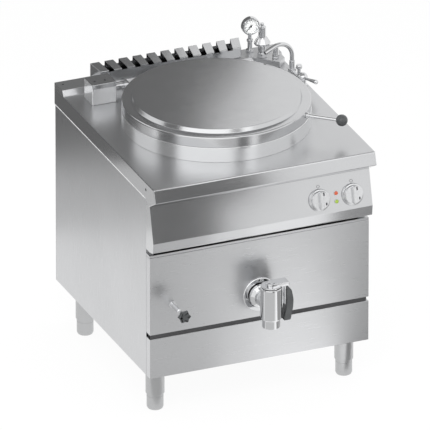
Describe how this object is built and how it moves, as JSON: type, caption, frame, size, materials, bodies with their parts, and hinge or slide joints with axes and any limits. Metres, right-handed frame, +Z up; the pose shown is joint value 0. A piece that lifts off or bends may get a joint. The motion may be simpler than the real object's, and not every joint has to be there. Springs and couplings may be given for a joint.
{
  "type": "steam jacketed kettle",
  "caption": "Free-standing round cooking kettle in a square steel cabinet, with a hinged lid, front drain tap, water mixer, gauge and valves.",
  "frame": {"origin": "on the floor, under the middle of the unit's overall box", "axes": "+X to the right as seen from the front, +Y to the back, +Z up"},
  "size_m": [0.8, 0.9706, 1.0205],
  "materials": {
    "cabinet_steel": "satin brushed sheet",
    "bright_steel": "finely brushed, half mirror",
    "dark_steel": "dull",
    "chrome_fittings": "polished",
    "black_plastic": "semi-gloss",
    "needle_black": "matt",
    "seal_rubber": "matt",
    "bronze": "turned",
    "dial_white": "enamel",
    "gauge_glass": "clear",
    "orange_lens": "moulded lens",
    "green_lens": "moulded lens"
  },
  "bodies": {
    "cabinet": {"left_side_panel": "cabinet_steel", "right_side_panel": "cabinet_steel", "rear_panel": "cabinet_steel", "base_tray": "cabinet_steel", "front_panel": "cabinet_steel", "plinth_panel": "cabinet_steel", "cross_rail": "cabinet_steel", "control_panel": "cabinet_steel", "leg_sleeve_front_left": "cabinet_steel", "leg_sleeve_front_right": "cabinet_steel", "leg_sleeve_rear_left": "cabinet_steel", "leg_sleeve_rear_right": "cabinet_steel", "steam_jacket": "cabinet_steel", "drain_pipe": "cabinet_steel", "steam_pipe": "cabinet_steel", "valve_platform": "cabinet_steel", "flue_comb": "cabinet_steel", "worktop": "bright_steel", "kettle_collar": "bright_steel", "kettle_vessel": "bright_steel", "hinge_tower": "bright_steel", "tower_cover": "bright_steel", "hinge_bracket": "bright_steel", "balance_spring": "dark_steel", "heating_element": "dark_steel", "drain_escutcheon": "chrome_fittings", "drain_tap_body": "chrome_fittings", "level_tap_stem": "chrome_fittings", "gauge_case": "chrome_fittings", "safety_valve": "chrome_fittings", "vent_valve": "chrome_fittings", "mixer_body": "chrome_fittings", "bush_inner": "bronze", "bush_outer": "bronze", "gauge_dial": "dial_white", "gauge_glass": "gauge_glass", "orange_lamp": "orange_lens", "green_lamp": "green_lens"},
    "lid_unit": {"lid": "bright_steel", "lid_seal": "seal_rubber", "lid_handle_rod": "bright_steel", "lid_handle_ball": "black_plastic", "lid_arm_left": "bright_steel", "lid_arm_right": "bright_steel", "hinge_axle": "bright_steel", "hinge_pin": "bright_steel"},
    "heat_knob": {"heat_knob": "chrome_fittings"},
    "switch_knob": {"switch_knob": "chrome_fittings"},
    "drain_handle": {"drain_plug": "bronze", "drain_arm": "chrome_fittings", "drain_grip": "black_plastic"},
    "level_knob": {"level_tap_knob": "black_plastic"},
    "spout": {"swivel_spout": "chrome_fittings"},
    "lever": {"tap_lever": "chrome_fittings"},
    "mixer_knob": {"tap_knob": "chrome_fittings"},
    "needle": {"gauge_needle": "needle_black"},
    "foot_front_left": {"foot_front_left": "cabinet_steel"},
    "foot_front_right": {"foot_front_right": "cabinet_steel"},
    "foot_rear_left": {"foot_rear_left": "cabinet_steel"},
    "foot_rear_right": {"foot_rear_right": "cabinet_steel"}
  },
  "joints": [
    {"name": "lid_hinge", "type": "hinge", "parent": "cabinet", "child": "lid_unit", "pos_m": [0, 0.3543, 0.902], "axis": [-1, 0, 0], "range_deg": [0, 85]},
    {"name": "heat_knob_turn", "type": "hinge", "parent": "cabinet", "child": "heat_knob", "pos_m": [0.2075, -0.36795, 0.7151], "axis": [0, 0.9702, -0.2422], "range_deg": [0, 270]},
    {"name": "switch_knob_turn", "type": "hinge", "parent": "cabinet", "child": "switch_knob", "pos_m": [0.3275, -0.36795, 0.7151], "axis": [0, 0.9702, -0.2422], "range_deg": [0, 180]},
    {"name": "drain_handle_turn", "type": "hinge", "parent": "cabinet", "child": "drain_handle", "pos_m": [0, -0.4487, 0.4713], "axis": [0, 0, -1], "range_deg": [0, 90]},
    {"name": "level_knob_turn", "type": "hinge", "parent": "cabinet", "child": "level_knob", "pos_m": [-0.318, -0.4517, 0.421], "axis": [0, -1, 0], "range_deg": [0, 270]},
    {"name": "spout_swivel", "type": "hinge", "parent": "cabinet", "child": "spout", "pos_m": [0.38, 0.2773, 0.9183], "axis": [0, 0, 1], "range_deg": [-15, 80]},
    {"name": "lever_lift", "type": "hinge", "parent": "cabinet", "child": "lever", "pos_m": [0.38, 0.1883, 0.897], "axis": [-1, 0, 0], "range_deg": [0, 30]},
    {"name": "mixer_knob_turn", "type": "hinge", "parent": "cabinet", "child": "mixer_knob", "pos_m": [0.38, 0.2163, 0.9173], "axis": [0, 0, 1], "range_deg": [0, 180]},
    {"name": "needle_turn", "type": "hinge", "parent": "cabinet", "child": "needle", "pos_m": [0.302, 0.4512, 0.989], "axis": [0, 1, 0], "range_deg": [0, 270], "stiffness_Nm_per_rad": 0.0005},
    {"name": "foot_front_left_screw", "type": "slide", "parent": "cabinet", "child": "foot_front_left", "axis": [0, 0, 1], "range_m": [0, 0.03]},
    {"name": "foot_front_right_screw", "type": "slide", "parent": "cabinet", "child": "foot_front_right", "axis": [0, 0, 1], "range_m": [0, 0.03]},
    {"name": "foot_rear_left_screw", "type": "slide", "parent": "cabinet", "child": "foot_rear_left", "axis": [0, 0, 1], "range_m": [0, 0.03]},
    {"name": "foot_rear_right_screw", "type": "slide", "parent": "cabinet", "child": "foot_rear_right", "axis": [0, 0, 1], "range_m": [0, 0.03]}
  ]
}
